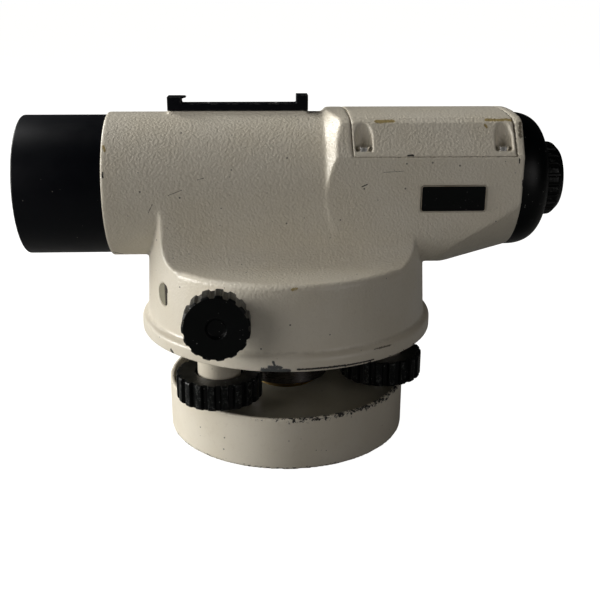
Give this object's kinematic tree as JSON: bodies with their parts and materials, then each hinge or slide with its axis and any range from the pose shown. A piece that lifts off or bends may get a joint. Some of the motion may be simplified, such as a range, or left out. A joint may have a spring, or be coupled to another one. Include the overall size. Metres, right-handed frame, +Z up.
{
  "type": "automatic level",
  "caption": "Ivory automatic level: a telescope with a hood, eyepiece and peep sight on a round drum, turning on a tribrach with foot screws and a round base.",
  "frame": {"origin": "centre of the tripod thread, in the base's bottom plane", "axes": "+Z up along the standing axis; +X along the telescope from the objective to the eyepiece; -Y towards the observer's left side"},
  "size_m": [0.195, 0.121, 0.1264],
  "materials": {
    "ivory_paint": "textured ivory enamel, worn",
    "black_plastic": "moulded black, worn",
    "black_metal": "satin black anodised",
    "nameplate_black": "gloss black plate with a pale border",
    "steel": "plain machined steel",
    "dark_steel": "dark machined steel",
    "brass": "machined brass",
    "aluminium": "satin aluminium",
    "lens_glass": "coated optical glass",
    "vial_glass": "yellow-green filled vial",
    "mirror": "silvered mirror"
  },
  "bodies": {
    "base": {"base_plate": "ivory_paint", "tripod_bush": "brass", "cover_disc": "ivory_paint", "cover_disc_screws": "steel", "foot_cups": "steel"},
    "foot_c_ball": {"foot_ball_c": "steel"},
    "tribrach": {"tribrach_plate": "ivory_paint", "foot_bushes": "brass", "axis_sleeve": "dark_steel", "sleeve_screws": "steel", "horizontal_circle": "aluminium", "clutch_nut": "dark_steel"},
    "foot_a": {"foot_ball_a": "steel"},
    "foot_a_screw": {"foot_stem_a": "steel", "foot_knob_a": "black_plastic"},
    "foot_b": {"foot_ball_b": "steel"},
    "foot_b_screw": {"foot_stem_b": "steel", "foot_knob_b": "black_plastic"},
    "foot_c": {"foot_neck_c": "steel"},
    "foot_c_screw": {"foot_stem_c": "steel", "foot_knob_c": "black_plastic"},
    "clutch": {"worm_wheel": "brass", "clutch_washer": "steel"},
    "head": {"housing": "ivory_paint", "spindle": "steel", "spindle_nut": "dark_steel", "bearing_plate": "aluminium", "bearing_screws": "steel", "top_cover": "ivory_paint", "top_cover_screws": "steel", "objective_hood": "black_metal", "objective_cell": "black_metal", "objective_retainer": "black_metal", "objective_lens": "lens_glass", "eyepiece_cover": "black_plastic", "reticle_cell": "black_metal", "reticle_glass": "lens_glass", "nameplate": "nameplate_black", "peep_sight": "black_metal", "peep_sight_screws": "steel", "circle_window": "lens_glass", "shaft_bushes": "brass", "level_housing": "black_metal", "level_vial": "vial_glass", "compensator_frame": "aluminium"},
    "mirror": {"mirror_frame": "black_metal", "mirror_glass": "mirror"},
    "compensator": {"pendulum": "aluminium", "prism": "lens_glass"},
    "tangent_drive": {"tangent_shaft": "steel", "worm": "brass", "tangent_knob_near": "black_plastic", "tangent_knob_far": "black_plastic"},
    "focus_control": {"focus_knob": "black_plastic", "focus_pinion": "steel"},
    "focus_carriage": {"focus_cell": "black_metal", "focus_lens": "lens_glass"},
    "eyepiece": {"eyepiece_cell": "black_metal", "eyepiece_lens": "lens_glass"},
    "eyepiece_grip": {"eyepiece_ring": "black_plastic"}
  },
  "joints": [
    {"name": "tilt_roll", "type": "hinge", "parent": "base", "child": "foot_c_ball", "pos_m": [0, 0, 0.0129], "axis": [-0.2924, 0.9563, 0], "range_deg": [-2, 2]},
    {"name": "tilt_pitch", "type": "hinge", "parent": "foot_c_ball", "child": "tribrach", "pos_m": [-0.02523, -0.02706, 0.0129], "axis": [0.9563, 0.2924, 0], "range_deg": [-2, 2]},
    {"name": "foot_a_travel", "type": "slide", "parent": "tribrach", "child": "foot_a", "axis": [0, 0, 1], "range_m": [-0.00112, 0.00112]},
    {"name": "foot_a_turn", "type": "hinge", "parent": "foot_a", "child": "foot_a_screw", "pos_m": [-0.02523, -0.02706, 0.026], "axis": [0, 0, 1], "range_deg": [-403, 403]},
    {"name": "foot_b_travel", "type": "slide", "parent": "tribrach", "child": "foot_b", "axis": [0, 0, 1], "range_m": [-0.00112, 0.00112]},
    {"name": "foot_b_turn", "type": "hinge", "parent": "foot_b", "child": "foot_b_screw", "pos_m": [0.03605, -0.00832, 0.026], "axis": [0, 0, 1], "range_deg": [-403, 403]},
    {"name": "foot_c_travel", "type": "slide", "parent": "tribrach", "child": "foot_c", "axis": [0, 0, 1], "range_m": [-0.00194, 0.00194]},
    {"name": "foot_c_turn", "type": "hinge", "parent": "foot_c", "child": "foot_c_screw", "pos_m": [-0.01082, 0.03538, 0.026], "axis": [0, 0, 1], "range_deg": [-698, 698]},
    {"name": "coarse_turn", "type": "hinge", "parent": "tribrach", "child": "clutch", "pos_m": [0, 0, 0.059], "axis": [0, 0, 1], "continuous": true},
    {"name": "fine_turn", "type": "hinge", "parent": "clutch", "child": "head", "pos_m": [0, 0, 0.059], "axis": [0, 0, 1], "continuous": true},
    {"name": "tangent_turn", "type": "hinge", "parent": "head", "child": "tangent_drive", "pos_m": [-0.0244, 0, 0.059], "axis": [0, 1, 0], "continuous": true},
    {"name": "focus_travel", "type": "slide", "parent": "head", "child": "focus_carriage", "axis": [1, 0, 0], "range_m": [-0.008, 0.008]},
    {"name": "focus_turn", "type": "hinge", "parent": "head", "child": "focus_control", "pos_m": [-0.016, 0, 0.0942], "axis": [0, 1, 0], "range_deg": [-184, 184]},
    {"name": "diopter_travel", "type": "slide", "parent": "head", "child": "eyepiece", "axis": [1, 0, 0], "range_m": [-0.0015, 0.0015]},
    {"name": "diopter_turn", "type": "hinge", "parent": "eyepiece", "child": "eyepiece_grip", "pos_m": [0.095, 0, 0.0954], "axis": [1, 0, 0], "range_deg": [-120.5, 120.5]},
    {"name": "compensator_swing", "type": "hinge", "parent": "head", "child": "compensator", "pos_m": [0.036, 0, 0.1079], "axis": [0, 1, 0], "range_deg": [-0.5, 0.5]},
    {"name": "mirror_flip", "type": "hinge", "parent": "head", "child": "mirror", "pos_m": [0.0098, 0.038, 0.0817], "axis": [0, -1, 0], "range_deg": [-45, 30]}
  ],
  "couplings": [
    {"joint": "foot_a_travel", "follows": "tilt_roll", "m_per_rad": -0.032043},
    {"joint": "foot_a_turn", "follows": "tilt_roll", "ratio": -201.33},
    {"joint": "foot_b_travel", "follows": "tilt_roll", "m_per_rad": 0.032043},
    {"joint": "foot_b_turn", "follows": "tilt_roll", "ratio": 201.33},
    {"joint": "foot_c_travel", "follows": "tilt_pitch", "m_per_rad": -0.0555},
    {"joint": "foot_c_turn", "follows": "tilt_pitch", "ratio": -348.72},
    {"joint": "tangent_turn", "follows": "fine_turn", "ratio": -60},
    {"joint": "focus_turn", "follows": "focus_travel", "rad_per_m": -400},
    {"joint": "diopter_turn", "follows": "diopter_travel", "rad_per_m": 1396.3}
  ]
}
